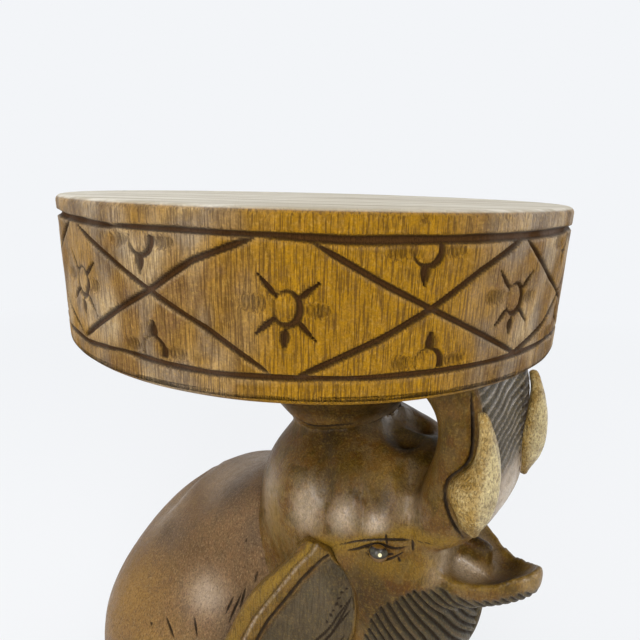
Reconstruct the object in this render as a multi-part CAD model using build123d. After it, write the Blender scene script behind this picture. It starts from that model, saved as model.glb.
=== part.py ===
"""Carved elephant stool: a round carved seat borne on a standing elephant with its trunk raised.

Frame: +Z up, origin on the floor under the centre of the seat. The elephant faces -Y and is
symmetric about the plane X = 0; its right side is -X. All sizes are millimetres.
"""
from build123d import *

import math
import os

# ---- driving dimensions -------------------------------------------------------------------
HEIGHT = 460.0            # floor to sitting surface
SEAT_RADIUS = 140.0
SEAT_THICKNESS = 72.0
SEAT_TOP_ROUND = 3.0
SEAT_UNDER_ROUND = 5.0
SEAT_UNDERSIDE = HEIGHT - SEAT_THICKNESS

REACH = 156.5             # lip tip in front and tail behind, each from the seat's axis

GROOVE_HALF_WIDTH = 2.2   # V grooves of the carved band round the seat
GROOVE_DEPTH = 2.0
UPPER_GROOVE_DROP = 10.0  # below the sitting surface
LOWER_GROOVE_RISE = 12.0  # above the underside
CROSS_BEARINGS = (34.3, 74.4, 114.5, 154.6, 194.6, 239.1, 274.0, 314.1, 354.2)   # degrees from +X
CROSS_SPAN = 35.5         # degrees of rim that one cross covers
BOSS_RADIUS = 5.2         # round boss between each two crosses
BOSS_RING = 3.0           # width of the sunk ring round it
BOSS_RING_DEPTH = 1.6

CROWN_Y = -21.0           # axis of the trumpet-shaped crown between head and seat
CROWN_WAIST_RADIUS = 26.0
CROWN_TOP_RADIUS = 76.0
CROWN_WAIST_Z = 322.0
CROWN_FLARE_POINT = (42.0, 0.0, 341.5)   # on the arc of its outline, measured from its own axis
CROWN_TENON_Z = 312.0

RING_POINTS = 12          # points on the curve of each large cross-section
SMALL_RING_POINTS = 8     # and of each small one

SEAT_DOWEL_RADIUS = 9.0
SEAT_DOWEL_SPAN = (SEAT_UNDERSIDE - 38.0, SEAT_UNDERSIDE + 35.0)
TRUNK_DOWEL_RADIUS = 6.0
TRUNK_DOWEL_Y = -108.0
TRUNK_DOWEL_SPAN = (SEAT_UNDERSIDE - 28.0, SEAT_UNDERSIDE + 28.0)
NECK_DOWEL_RADIUS = 7.0
NECK_DOWEL_X = 24.0
NECK_DOWEL_Y = -60.0
NECK_DOWEL_SPAN = (118.0, 186.0)


# ---- cross-sections -----------------------------------------------------------------------
def rounded(angle, half_u, half_v, power):
    """A point on a superellipse; power 2 is an ellipse, more is boxier."""
    c, s = math.cos(angle), math.sin(angle)
    u = half_u * math.copysign(abs(c) ** (2.0 / power), c)
    v = half_v * math.copysign(abs(s) ** (2.0 / power), s)
    return u, v


def ring_angles(count):
    return [2 * math.pi * (i + 0.5) / count for i in range(count)]


def level_section(z, half_x, y_front, y_back, power=2.3, x=0.0, count=RING_POINTS):
    """A closed horizontal section, from y_front to y_back."""
    y_mid, half_y = (y_front + y_back) / 2, abs(y_back - y_front) / 2
    points = []
    for angle in ring_angles(count):
        u, v = rounded(angle, half_x, half_y, power)
        points.append((x + u, y_mid + v, z))
    return make_face(Spline(*points, periodic=True))


def upright_section(y, half_x, z_low, z_high, ridge=0.0, ridge_width=45.0, power=2.0, x=0.0):
    """A closed section across the body, with a spine ridge added along its top."""
    z_mid, half_z = (z_low + z_high) / 2, (z_high - z_low) / 2
    points = []
    for angle in ring_angles(RING_POINTS):
        u, v = rounded(angle, half_x, half_z, power)
        lift = ridge * math.exp(-(u / ridge_width) ** 2) * max(0.0, v / half_z)
        points.append((x + u, y, z_mid + v + lift))
    return make_face(Spline(*points, periodic=True))


def other_side(shape):
    return mirror(shape, about=Plane.YZ)


# ---- seat ---------------------------------------------------------------------------------
def frieze_z(share):
    """Height on the carved band: 0 at the lower groove, 1 at the upper one."""
    low = SEAT_UNDERSIDE + LOWER_GROOVE_RISE
    high = HEIGHT - UPPER_GROOVE_DROP
    return low + share * (high - low)


def vee(reach):
    """Cross-section of a cut, point inwards, at a distance reach from the axis that it turns about."""
    clear = GROOVE_DEPTH / 2   # the cutter stands this far out of the rim
    mouth = GROOVE_HALF_WIDTH * (1 + clear / GROOVE_DEPTH)
    return make_face(
        Polyline((reach - GROOVE_DEPTH, 0, 0), (reach + clear, 0, mouth), (reach + clear, 0, -mouth), close=True)
    )


def border_groove(z):
    """V groove run once round the rim."""
    return Pos(0, 0, z) * revolve(vee(SEAT_RADIUS), Axis.Z, 360)


def rim_plane(bearing, lean):
    """Plane through the middle of the band at a bearing: +X outwards, +Y along a line that leans
    up from the horizontal by lean degrees."""
    turn, tilt = math.radians(bearing), math.radians(lean)
    outwards = Vector(math.cos(turn), math.sin(turn), 0)
    along = Vector(-math.sin(turn) * math.cos(tilt), math.cos(turn) * math.cos(tilt), math.sin(tilt))
    centre = outwards * SEAT_RADIUS + Vector(0, 0, frieze_z(0.5))
    return Plane(origin=centre, x_dir=outwards, z_dir=outwards.cross(along))


def cross_strokes(bearing):
    """The two slanting cuts of one cross. A slanted plane meets the drum in an ellipse, and each
    cut turns about the centre of that ellipse's curvature at the crossing."""
    half_run = math.radians(CROSS_SPAN / 2) * SEAT_RADIUS
    half_rise = (frieze_z(1) - frieze_z(0)) / 2
    slope = math.degrees(math.atan2(half_rise, half_run))
    bend = SEAT_RADIUS / math.cos(math.radians(slope)) ** 2
    half_turn = math.degrees(math.hypot(half_run, half_rise) / bend)
    cuts = []
    for lean in (slope, -slope):
        stroke = Rot(0, 0, -half_turn) * revolve(vee(bend), Axis.Z, 2 * half_turn)
        cuts.append(rim_plane(bearing, lean).location * Pos(-bend, 0, 0) * stroke)
    return cuts


def boss_ring(bearing):
    """Sunk ring that leaves a round boss standing in the rim."""
    outer = Cylinder(BOSS_RADIUS + BOSS_RING, 2 * BOSS_RING_DEPTH)
    inner = Cylinder(BOSS_RADIUS, 2 * BOSS_RING_DEPTH)
    return rim_plane(bearing, 0).location * Rot(0, 90, 0) * (outer - inner)


def make_seat():
    outline = Polyline(
        (0, 0, SEAT_UNDERSIDE), (SEAT_RADIUS, 0, SEAT_UNDERSIDE), (SEAT_RADIUS, 0, HEIGHT), (0, 0, HEIGHT),
        close=True,
    )
    disc = revolve(make_face(outline), Axis.Z, 360)
    rims = disc.edges().filter_by(GeomType.CIRCLE).sort_by(Axis.Z)
    disc = fillet(rims[0], SEAT_UNDER_ROUND)
    top_rim = disc.edges().filter_by(GeomType.CIRCLE).sort_by(Axis.Z)[-1]
    disc = fillet(top_rim, SEAT_TOP_ROUND)
    cuts = [border_groove(frieze_z(0)), border_groove(frieze_z(1))]
    following = CROSS_BEARINGS[1:] + (CROSS_BEARINGS[0] + 360,)
    for bearing, next_bearing in zip(CROSS_BEARINGS, following):
        cuts += cross_strokes(bearing)
        cuts.append(boss_ring((bearing + next_bearing) / 2))
    return disc - cuts


# ---- the elephant -------------------------------------------------------------------------
# Torso, from behind the chest to the rump: y, half width, underside, top without the ridge, ridge.
TORSO_SECTIONS = [
    (-88.0, 66.0, 96.0, 208.0, 0.0),
    (-58.0, 80.0, 74.0, 218.0, 8.0),
    (-28.0, 88.0, 64.0, 222.0, 26.0),
    (2.0, 104.0, 59.0, 226.0, 54.0),
    (32.0, 119.0, 57.0, 229.0, 52.0),
    (62.0, 125.0, 56.0, 231.0, 28.0),
    (92.0, 117.0, 62.0, 226.0, 22.0),
    (118.0, 98.0, 76.0, 212.0, 12.0),
    (138.0, 68.0, 98.0, 188.0, 4.0),
    (150.0, 38.0, 118.0, 166.0, 0.0),
]
CHEST_CENTRE = (0.0, -44.0, 152.0)
CHEST_RADIUS = 76.0
# Legs: x, y, then from the sole up: z, half width, half depth.
FRONT_LEG = (54.0, -64.0, [(0.0, 34.0, 37.0), (45.0, 31.0, 34.0), (90.0, 33.0, 37.0), (135.0, 33.0, 40.0),
                           (175.0, 25.0, 32.0)])
REAR_LEG = (72.0, 78.0, [(0.0, 38.0, 42.0), (45.0, 34.0, 38.0), (90.0, 40.0, 47.0), (135.0, 42.0, 53.0),
                         (175.0, 31.0, 42.0)])

# Tail in relief, from under the spine down to its tuft: z, y, radius.
TAIL_SECTIONS = [
    (196.0, 120.0, 12.0), (174.0, 139.0, 10.0), (152.0, 148.0, 7.5), (130.0, 150.0, 6.5),
    (108.0, 148.0, 7.0), (86.0, 143.0, 10.0), (64.0, 139.0, 5.0),
]

# Head and throat, from the neck up: z, half width, front, back.
HEAD_SECTIONS = [
    (160.0, 42.0, -104.0, -24.0),
    (185.0, 48.0, -115.5, -6.0),
    (210.0, 52.5, -123.0, 8.0),
    (235.0, 55.5, -127.0, 18.0),
    (262.0, 58.0, -123.0, 23.0),
    (288.0, 57.5, -116.0, 20.0),
    (306.0, 54.0, -106.0, 11.0),
    (320.0, 44.0, -98.0, 2.0),
    (332.0, 24.0, -90.0, -5.0),
]
DOME_CENTRE = (-19.0, -59.0, 314.5)
DOME_RADIUS = 19.0
# Trunk, from its root up to the seat: z, half width, front, back.
TRUNK_SECTIONS = [
    (280.0, 33.0, -114.0, -80.0),
    (298.0, 36.0, -127.0, -88.0),
    (316.0, 37.0, -133.5, -95.0),
    (334.0, 36.5, -132.5, -101.0),
    (352.0, 36.0, -130.0, -104.5),
    (370.0, 36.0, -126.5, -95.0),
    (SEAT_UNDERSIDE, 42.0, -127.0, -58.0),
]
# Lower lip, a spout from the chin to its tip: y, half width, underside, rim.
LIP_SECTIONS = [
    (-94.0, 40.0, 227.0, 282.0),
    (-106.5, 38.0, 234.5, 281.0),
    (-119.0, 31.0, 245.0, 279.5),
    (-131.5, 21.5, 251.5, 277.5),
    (-144.0, 12.5, 257.5, 280.0),
    (-REACH, 4.5, 271.0, 284.0),
]
LIP_POWER = 2.6          # boxy outside, a plain ellipse in the hollow
TROUGH_POWER = 2.0
# The hollow of the lip, a dish open upwards: y, half width, floor, and well above the rim.
TROUGH_SECTIONS = [
    (-106.0, 20.0, 277.0, 311.0),
    (-117.5, 40.0, 267.5, 314.0),
    (-129.0, 33.0, 265.5, 313.0),
    (-140.5, 17.5, 268.5, 308.0),
    (-152.0, 6.0, 279.5, 304.0),
]
# The gape seen from the side, forwards from the corner of the mouth and up under the trunk: y, z.
GAPE_OUTLINE = [
    (-112, 264), (-112, 287), (-119, 293), (-128, 297.5), (-134, 304), (-138, 323), (-172, 330), (-172, 264),
]
GAPE_HALF_WIDTH = 70.0
TONGUE_CENTRE = (0.0, -113.0, 274.0)
TONGUE_SIZE = (10.0, 36.0, 18.0)
TONGUE_ROUND = 3.0
# Tusk, from its root up to the point: z, middle, width, thickness.
TUSK_X = 34.5
TUSK_SECTIONS = [
    (310.5, -131.5, 3.0, 3.0),
    (318.5, -129.4, 13.0, 12.0),
    (326.5, -128.3, 20.5, 16.5),
    (334.5, -128.5, 22.5, 17.5),
    (342.0, -131.2, 17.0, 15.0),
    (350.0, -132.9, 12.0, 12.0),
    (358.0, -132.5, 8.8, 10.0),
    (366.0, -130.8, 6.2, 7.5),
    (374.0, -128.4, 2.5, 3.0),
]
# Ear flap: its own plane at the root behind the eye, +x backwards, +y down.
EAR_ROOT = (-60.0, -66.0, 279.0)
EAR_NORMAL = (-0.912, -0.385, 0.142)
EAR_BACKWARDS = (-0.38, 0.923, 0.059)
EAR_OUTLINE = [
    (4, -2), (12, -3), (23.5, 13.5), (40.5, 37.5), (50, 59), (57, 81), (61, 105), (54, 118), (41, 125),
    (26, 124), (13, 115), (3, 102), (-6, 86), (-13, 68), (-18, 50), (-18, 32), (-13, 17), (-5, 7),
]
EAR_THICKNESS = 11.0
EAR_DISH_CENTRE = (22.0, 62.0)   # shallow hollow inside the rolled rim, in the ear's plane
EAR_DISH_HALF_WIDTH = 26.0
EAR_DISH_HALF_LENGTH = 47.0
EAR_DISH_DEPTH = 5.0
EAR_DISH_TURN = -22.0
EAR_TENON_CORNER = 6.0
EAR_TENON = (12.0, 40.0, 18.0, 52.0, 40.0)   # in the ear's plane: x, y, width, height; then its depth

EYE_CENTRE = (-50.0, -90.0, 287.0)
EYE_NORMAL = (-0.9, -0.4, 0.1)
EYE_RADIUS = 5.0
EYE_BULGE = 3.5


def tapered_column(x, y, sections):
    return loft([level_section(z, hx, y - hy, y + hy, 2.4, x) for z, hx, hy in sections])


def make_tail():
    rings = [level_section(z, r, y - r, y + r, 2.0, count=SMALL_RING_POINTS) for z, y, r in TAIL_SECTIONS]
    return loft(rings)


def make_body():
    torso = loft([upright_section(y, hx, lo, hi, ridge) for y, hx, lo, hi, ridge in TORSO_SECTIONS])
    body = torso + Pos(*CHEST_CENTRE) * Sphere(CHEST_RADIUS)
    for x, y, sections in (FRONT_LEG, REAR_LEG):
        leg = tapered_column(-x, y, sections)
        body = body + leg + other_side(leg)
    return body + make_tail()


def make_trunk():
    return loft([level_section(z, hx, yf, yb, 3.2) for z, hx, yf, yb in TRUNK_SECTIONS])


def make_spout(sections, power):
    return loft([upright_section(y, hx, lo, hi, power=power) for y, hx, lo, hi in sections])


def make_gape():
    """Cutter for the open mouth, as wide as the head."""
    side = Polyline(*[(0, y, z) for y, z in GAPE_OUTLINE], close=True)
    return extrude(make_face(side), amount=GAPE_HALF_WIDTH, both=True, dir=(1, 0, 0))


def make_head():
    skull = loft([level_section(z, hx, yf, yb) for z, hx, yf, yb in HEAD_SECTIONS])
    dome = Pos(*DOME_CENTRE) * Sphere(DOME_RADIUS)
    skull = skull + dome + other_side(dome)
    head = skull + make_trunk()
    head -= make_gape()
    head += make_spout(LIP_SECTIONS, LIP_POWER) - make_spout(TROUGH_SECTIONS, TROUGH_POWER)
    tongue = fillet(Box(*TONGUE_SIZE).edges(), TONGUE_ROUND)
    return head + Pos(*TONGUE_CENTRE) * tongue


def make_crown():
    """Trumpet-shaped column: a tenon in the head, a narrow waist, and a wide mouth under the seat."""
    flare = ThreePointArc(
        (CROWN_WAIST_RADIUS, 0, CROWN_WAIST_Z), CROWN_FLARE_POINT, (CROWN_TOP_RADIUS, 0, SEAT_UNDERSIDE)
    )
    rest = Polyline(
        (CROWN_TOP_RADIUS, 0, SEAT_UNDERSIDE), (0, 0, SEAT_UNDERSIDE), (0, 0, CROWN_TENON_Z),
        (CROWN_WAIST_RADIUS, 0, CROWN_TENON_Z), (CROWN_WAIST_RADIUS, 0, CROWN_WAIST_Z),
    )
    half = make_face([flare] + list(rest.edges()))
    return Pos(0, CROWN_Y, 0) * revolve(half, Axis.Z, 360)


def make_tusk():
    rings = []
    for z, y, wide, thick in TUSK_SECTIONS:
        rings.append(
            level_section(z, thick / 2, y - wide / 2, y + wide / 2, 2.0, -TUSK_X, count=SMALL_RING_POINTS)
        )
    return loft(rings)


def ear_plane():
    return Plane(origin=EAR_ROOT, x_dir=EAR_BACKWARDS, z_dir=EAR_NORMAL)


def ear_flap(amount):
    return extrude(ear_plane() * make_face(Spline(*EAR_OUTLINE, periodic=True)), amount=amount)


def ear_blank():
    """Ear with its tenon, before its face is hollowed."""
    x, y, width, height, depth = EAR_TENON
    tenon = extrude(ear_plane() * Pos(x, y) * RectangleRounded(width, height, EAR_TENON_CORNER), amount=-depth)
    return ear_flap(-EAR_THICKNESS) + tenon


def ear_pocket():
    """Room for the ear in head and body, open to the outside."""
    return ear_blank() + ear_flap(EAR_THICKNESS)


def ear_dish():
    """A torus that touches the bottom of the hollow; its two radii give the hollow's width and length."""
    across = EAR_DISH_HALF_WIDTH ** 2 / (2 * EAR_DISH_DEPTH)
    along = EAR_DISH_HALF_LENGTH ** 2 / (2 * EAR_DISH_DEPTH)
    ring = Rot(0, 90, 0) * Torus(along - across, across)
    return Pos(*EAR_DISH_CENTRE, along - EAR_DISH_DEPTH) * Rot(0, 0, EAR_DISH_TURN) * ring


def make_ear():
    return ear_blank() - ear_plane().location * ear_dish()


def make_eye():
    """Lens with a round rim, set upright in the side of the head."""
    ball = EYE_RADIUS ** 2 / (2 * EYE_BULGE) + EYE_BULGE / 2
    lens = Pos(0, 0, ball - EYE_BULGE) * Sphere(ball) & Pos(0, 0, EYE_BULGE - ball) * Sphere(ball)
    return Plane(origin=EYE_CENTRE, z_dir=EYE_NORMAL).location * lens


def peg(x, y, radius, span):
    z_low, z_high = span
    return Pos(x, y, (z_low + z_high) / 2) * Cylinder(radius, z_high - z_low)


def build():
    seat = make_seat()
    crown = make_crown()
    head = make_head()
    body = make_body()
    tusk = make_tusk()
    ear = make_ear()
    eye = make_eye()

    seat_peg = peg(0, CROWN_Y, SEAT_DOWEL_RADIUS, SEAT_DOWEL_SPAN)
    trunk_peg = peg(0, TRUNK_DOWEL_Y, TRUNK_DOWEL_RADIUS, TRUNK_DOWEL_SPAN)
    neck_pegs = [peg(x, NECK_DOWEL_Y, NECK_DOWEL_RADIUS, NECK_DOWEL_SPAN) for x in (-NECK_DOWEL_X, NECK_DOWEL_X)]

    pocket = ear_pocket()
    pockets = [pocket, other_side(pocket)]
    body = body - head - pockets - neck_pegs
    head = head - crown - [tusk, other_side(tusk), eye, other_side(eye)] - pockets - neck_pegs - trunk_peg
    crown -= seat_peg
    seat = seat - seat_peg - trunk_peg
    return {
        "seat": seat,
        "crown": crown,
        "head": head,
        "body": body,
        "ear_right": ear,
        "ear_left": other_side(ear),
        "tusk_right": tusk,
        "tusk_left": other_side(tusk),
        "eye_right": eye,
        "eye_left": other_side(eye),
        "seat_dowel": seat_peg,
        "trunk_dowel": trunk_peg,
        "neck_dowels": Compound(neck_pegs),
    }


os.makedirs("parts", exist_ok=True)
for name, shape in build().items():
    export_step(shape, f"parts/{name}.step")
    print(f"{name:14s} {shape.volume / 1000:9.1f} cm3")
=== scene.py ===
"""Carved elephant stool, dressed: cut and stained surfaces on the carved wooden pieces."""
import math

import bmesh
import bpy
import numpy as np
from bpy.props import FloatProperty, IntProperty, PointerProperty, StringProperty
from mathutils import Matrix, Vector, noise
from mathutils.bvhtree import BVHTree


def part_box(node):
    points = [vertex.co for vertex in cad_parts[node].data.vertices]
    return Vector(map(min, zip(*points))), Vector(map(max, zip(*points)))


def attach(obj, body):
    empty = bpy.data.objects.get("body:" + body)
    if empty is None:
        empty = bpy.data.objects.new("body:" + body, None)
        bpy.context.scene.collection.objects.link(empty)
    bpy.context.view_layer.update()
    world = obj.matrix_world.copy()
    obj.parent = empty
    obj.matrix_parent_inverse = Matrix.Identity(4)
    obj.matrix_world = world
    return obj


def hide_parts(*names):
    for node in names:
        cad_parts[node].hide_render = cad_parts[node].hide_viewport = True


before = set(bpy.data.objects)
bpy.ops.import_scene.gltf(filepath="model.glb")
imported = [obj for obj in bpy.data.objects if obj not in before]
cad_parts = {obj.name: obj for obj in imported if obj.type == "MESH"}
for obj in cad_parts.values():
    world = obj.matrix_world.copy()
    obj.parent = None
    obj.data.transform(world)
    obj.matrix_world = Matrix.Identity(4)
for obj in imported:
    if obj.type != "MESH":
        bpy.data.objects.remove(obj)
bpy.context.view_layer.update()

bl_info = {
    "name": "Carved Elephant Stool",
    "version": (1, 0, 0),
    "blender": (4, 5, 0),
    "location": "3D View > Sidebar > Stool",
    "description": "Cuts, stains and waxes the pieces of a carved wooden elephant stool",
    "category": "Add Mesh",
}

MM = 0.001
MOST_TRIANGLES = 190000   # in one piece
EAR_CELL, TUSK_CELL = 1.7, 1.2    # millimetres, before they are halved
SNAP_STEP = 2.5           # millimetres between the spots of a path that are moved onto a surface
SNAP_POINTS = 16          # points of the surface that each spot is the middle of
SEAT_LOW, SEAT_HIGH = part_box("seat")
SEAT_RADIUS = SEAT_HIGH.x / MM
SEAT_TOP = SEAT_HIGH.z / MM
SEAT_UNDERSIDE = SEAT_LOW.z / MM


# ---- numbers and colours ------------------------------------------------------------------
def linear(code):
    """sRGB hex, such as #A07C40, as a linear colour with alpha."""
    parts = [int(code[i:i + 2], 16) / 255 for i in (1, 3, 5)]
    return [c / 12.92 if c <= 0.04045 else ((c + 0.055) / 1.055) ** 2.4 for c in parts] + [1.0]


def ease(low, high, value):
    """0 below low, 1 above high, smooth between them."""
    share = np.clip((value - low) / (high - low), 0, 1)
    return share * share * (3 - 2 * share)


def hollow(distance, half_width):
    """Cross-section of a soft groove: 1 in the middle, 0 past half_width."""
    return 0.5 + 0.5 * np.cos(np.pi * np.clip(distance / half_width, 0, 1))


def gouge(distance, half_width):
    """Cross-section of a chisel cut: flat in the middle and steep at its edges."""
    return ease(1, 0.2, distance / half_width)


def ripple(points, period, seed):
    """Smooth noise from -1 to 1 at points in millimetres."""
    shift = Vector((seed * 17.3, seed * 5.1, -seed * 9.7))
    return np.array([noise.noise(Vector(p) / period + shift) for p in points])


def lump(points, centre, radii):
    """1 at a centre, fading out over the radii."""
    offset = (points - np.array(centre, float)) / np.array(radii, float)
    return np.exp(-(offset ** 2).sum(1))


def rows(across, pitch):
    """The row of a pattern that each point is in, and its distance from the middle of that row."""
    row = np.floor(across / pitch)
    return row, np.abs(across / pitch - row - 0.5) * pitch


def from_ends(share, taper):
    """0 at both ends of a path and 1 along its middle; taper is the share of it that each end takes."""
    return np.clip(np.minimum(share, 1 - share) / taper, 0, 1)


def along_path(points, path):
    """Distance of each point to a broken line, and its share of the line's length there."""
    path = np.array(path, float)
    steps = np.linalg.norm(np.diff(path, axis=0), axis=1)
    begun = np.concatenate([[0], np.cumsum(steps)])
    best = np.full(len(points), 1e9)
    share = np.zeros(len(points))
    for i, length in enumerate(steps):
        direction = (path[i + 1] - path[i]) / length
        reach = np.clip((points - path[i]) @ direction, 0, length)
        gap = np.linalg.norm(points - path[i] - reach[:, None] * direction, axis=1)
        nearer = gap < best
        best[nearer] = gap[nearer]
        share[nearer] = ((begun[i] + reach) / begun[-1])[nearer]
    return best, share


def snapped(points, path):
    """A path in short steps, each moved onto the surface that the points make."""
    path = np.array(path, float)
    spots = [path[0]]
    for start, end in zip(path, path[1:]):
        count = max(1, int(np.linalg.norm(end - start) / SNAP_STEP))
        spots += [start + (end - start) * (i + 1) / count for i in range(count)]
    gaps = [((points - spot) ** 2).sum(1) for spot in spots]
    near = np.array([points[np.argpartition(gap, SNAP_POINTS)[:SNAP_POINTS]].mean(0) for gap in gaps])
    for _ in range(3):
        near[1:-1] = (near[:-2] + 2 * near[1:-1] + near[2:]) / 4
    return near


# How softly the head runs into the body: heights, and the reach of the fillet there.
NECK_HEIGHTS = (190, 236, 250, 262, 268)
NECK_FILLETS = (34, 30, 18, 6, 2)


class Carving:
    """What is cut from or left standing on a piece, in millimetres, and how it is stained."""

    def __init__(self, points, normals):
        self.points = points
        self.normals = normals
        self.height = np.zeros(len(points))
        self.stains = {}

    def stain(self, **amounts):
        """Adds stains by name, each where it is stronger than what is there."""
        for name, amount in amounts.items():
            self.stains[name] = np.maximum(self.stains.get(name, 0), amount)

    def stroke(self, path, half_width, depth, dark=1.0, taper=0.25):
        """One cut of the gouge along a path on the surface, narrowing to both ends."""
        path = snapped(self.points, path)
        low, high = path.min(0) - 2 * half_width - 2, path.max(0) + 2 * half_width + 2
        near = np.all((self.points > low) & (self.points < high), axis=1)
        gap, share = along_path(self.points[near], path)
        ends = from_ends(share, taper) ** 0.6
        cut = gouge(gap, half_width * (0.4 + 0.6 * ends)) * (0.3 + 0.7 * ends)
        self.height[near] -= depth * cut
        stained = np.zeros(len(self.points))
        stained[near] = dark * cut
        self.stain(cut=stained)

    def swells(self, table):
        """Soft rises, and hollows where the height is negative: centre, radii and height of each."""
        for centre, radii, height in table:
            self.height += height * lump(self.points, centre, radii)

    def valleys(self, table):
        """Soft channels, and ridges where the depth is negative: path, half width and depth of each."""
        for path, half_width, depth in table:
            gap, share = along_path(self.points, path)
            self.height -= depth * np.exp(-(gap / half_width) ** 2) * (0.3 + 0.7 * from_ends(share, 0.25))

    def spots(self, table):
        """Soft spots of stain: for each stain the centre, radii and amount of every spot."""
        for name, places in table.items():
            for centre, radii, amount in places:
                self.stain(**{name: amount * lump(self.points, centre, radii)})

    def streak(self, name, path, half_width, amount):
        """A stain along a path."""
        gap, _ = along_path(self.points, path)
        self.stain(**{name: amount * np.exp(-(gap / half_width) ** 2)})

    def fold(self, node, near):
        """Fills the crease against a neighbouring piece, where near, as one block of wood has it."""
        reach = near * np.interp(self.points[:, 2], NECK_HEIGHTS, NECK_FILLETS)
        bm = bmesh.new()
        bm.from_mesh(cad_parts[node].data)
        tree = BVHTree.FromBMesh(bm)
        bm.free()
        for i in np.flatnonzero(reach > 1):
            gap = tree.find_nearest(Vector(self.points[i] * MM))[3] / MM
            if gap < reach[i]:
                self.height[i] += reach[i] / 4 * (1 - gap / reach[i]) ** 2


# ---- mesh work ----------------------------------------------------------------------------
def new_object(name, bm):
    """An object at the origin with the mesh that a bmesh holds."""
    mesh = bpy.data.meshes.new(name)
    bm.to_mesh(mesh)
    bm.free()
    piece = bpy.data.objects.new(name, mesh)
    bpy.context.scene.collection.objects.link(piece)
    return piece


def finished(piece, kind, **settings):
    """Applies one modifier to a piece."""
    modifier = piece.modifiers.new(kind.title(), kind)
    for key, value in settings.items():
        setattr(modifier, key, value)
    evaluated = piece.evaluated_get(bpy.context.evaluated_depsgraph_get())
    shape = bpy.data.meshes.new_from_object(evaluated)
    piece.modifiers.clear()
    old, piece.data = piece.data, shape
    bpy.data.meshes.remove(old)
    return piece


def beside(bm, place, radius):
    """Vertices near a place on the right side, in millimetres, and near its mirror place."""
    place = Vector(place) * MM
    return [v for v in bm.verts if (Vector((-abs(v.co.x), v.co.y, v.co.z)) - place).length < radius * MM]


def relaxed(piece, rounds, place=None, radius=0):
    """Rubs a surface down evenly, all of it or near one place."""
    bm = bmesh.new()
    bm.from_mesh(piece.data)
    verts = beside(bm, place, radius) if place else bm.verts
    for _ in range(rounds):
        bmesh.ops.smooth_vert(bm, verts=verts, factor=0.5, use_axis_x=True, use_axis_y=True,
                              use_axis_z=True)
    bm.to_mesh(piece.data)
    bm.free()
    return piece


def blank(name, nodes, cell, rounds):
    """A carver's blank: the nodes as one even skin with cells of half the given size, in millimetres."""
    bm = bmesh.new()
    for node in nodes:
        bm.from_mesh(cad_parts[node].data)
    bmesh.ops.remove_doubles(bm, verts=bm.verts, dist=0.002 * MM)
    piece = new_object(name, bm)
    finished(piece, "REMESH", mode="VOXEL", voxel_size=cell * MM, adaptivity=0.0)
    relaxed(piece, rounds)
    finished(piece, "SUBSURF", levels=1, render_levels=1)
    return relaxed(piece, 2)


def refined(piece, place, radius):
    """Halves the cells near a place, for finer lines there."""
    bm = bmesh.new()
    bm.from_mesh(piece.data)
    near = set(beside(bm, place, radius))
    edges = [edge for edge in bm.edges if near.issuperset(edge.verts)]
    bmesh.ops.subdivide_edges(bm, edges=edges, cuts=1, use_grid_fill=True)
    bm.to_mesh(piece.data)
    bm.free()
    return relaxed(piece, 1, place, radius)


def thinned(piece):
    """Takes cells away where the surface is plain, down to the most triangles that a piece may have."""
    triangles = sum(face.loop_total - 2 for face in piece.data.polygons)
    if triangles > MOST_TRIANGLES:
        finished(piece, "DECIMATE", ratio=MOST_TRIANGLES / triangles)
    return piece


def surface(piece):
    """Points in millimetres and outward normals of a piece."""
    mesh = piece.data
    points = np.empty(len(mesh.vertices) * 3)
    mesh.vertices.foreach_get("co", points)
    normals = np.empty(len(mesh.vertices) * 3, np.float32)
    mesh.vertex_normals.foreach_get("vector", normals)
    return points.reshape(-1, 3) / MM, normals.reshape(-1, 3).astype(float)


def carved(piece, carving):
    """Moves the surface to the carving and stores its stains as attributes."""
    mesh = piece.data
    moved = (carving.points + carving.normals * carving.height[:, None]) * MM
    moved[:, 2] = np.maximum(moved[:, 2], 0)
    mesh.vertices.foreach_set("co", moved.ravel())
    for name, amount in carving.stains.items():
        layer = mesh.attributes.new(name, "FLOAT", "POINT")
        layer.data.foreach_set("value", np.clip(amount, 0, 1).astype(np.float32))
    mesh.polygons.foreach_set("use_smooth", np.ones(len(mesh.polygons), bool))
    mesh.update()
    return piece


def settle(piece, material, slot, *nodes):
    """Gives a finished piece its material and hands it to the frame."""
    piece.data.materials.append(material)
    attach(piece, "root")
    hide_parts(*nodes)


# ---- materials ----------------------------------------------------------------------------
def plug(node, inputs):
    """Sets inputs of a node, from a list or by key, each to another node's output or to a value."""
    for key, value in inputs.items() if isinstance(inputs, dict) else enumerate(inputs):
        if isinstance(value, bpy.types.NodeSocket):
            node.id_data.links.new(value, node.inputs[key])
        else:
            node.inputs[key].default_value = value


def add(tree, kind, inputs, output=0, **settings):
    """Adds a node with its settings, values and links, and gives one of its outputs."""
    made = tree.nodes.new("ShaderNode" + kind)
    for key, value in settings.items():
        setattr(made, key, value)
    plug(made, inputs)
    return made.outputs[output] if made.outputs else None


def new_material(name):
    """A material with its node tree, its shader and a space in millimetres on the object."""
    material = bpy.data.materials.new(name)
    material.use_nodes = True
    tree = material.node_tree
    place = add(tree, "TexCoord", {}, "Object")
    space = add(tree, "Mapping", {"Vector": place, "Scale": (1 / MM,) * 3})
    return material, tree, tree.nodes["Principled BSDF"], space


def blotches(tree, space, size, detail, rough, low, high, start=0.0, end=1.0):
    """Noise with features about size millimetres across; what lies from low to high in it becomes
    start to end."""
    noisy = add(tree, "TexNoise", {"Vector": space, "Scale": 1 / size, "Detail": detail, "Roughness": rough})
    return add(tree, "MapRange", [noisy, low, high, start, end])


def layered(tree, colour, layers):
    """Coats of colour, each laid over those before it by its share."""
    for share, shade in layers:
        colour = add(tree, "Mix", {0: share, 6: colour, 7: linear(shade)}, 2, data_type="RGBA")
    return colour


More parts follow.
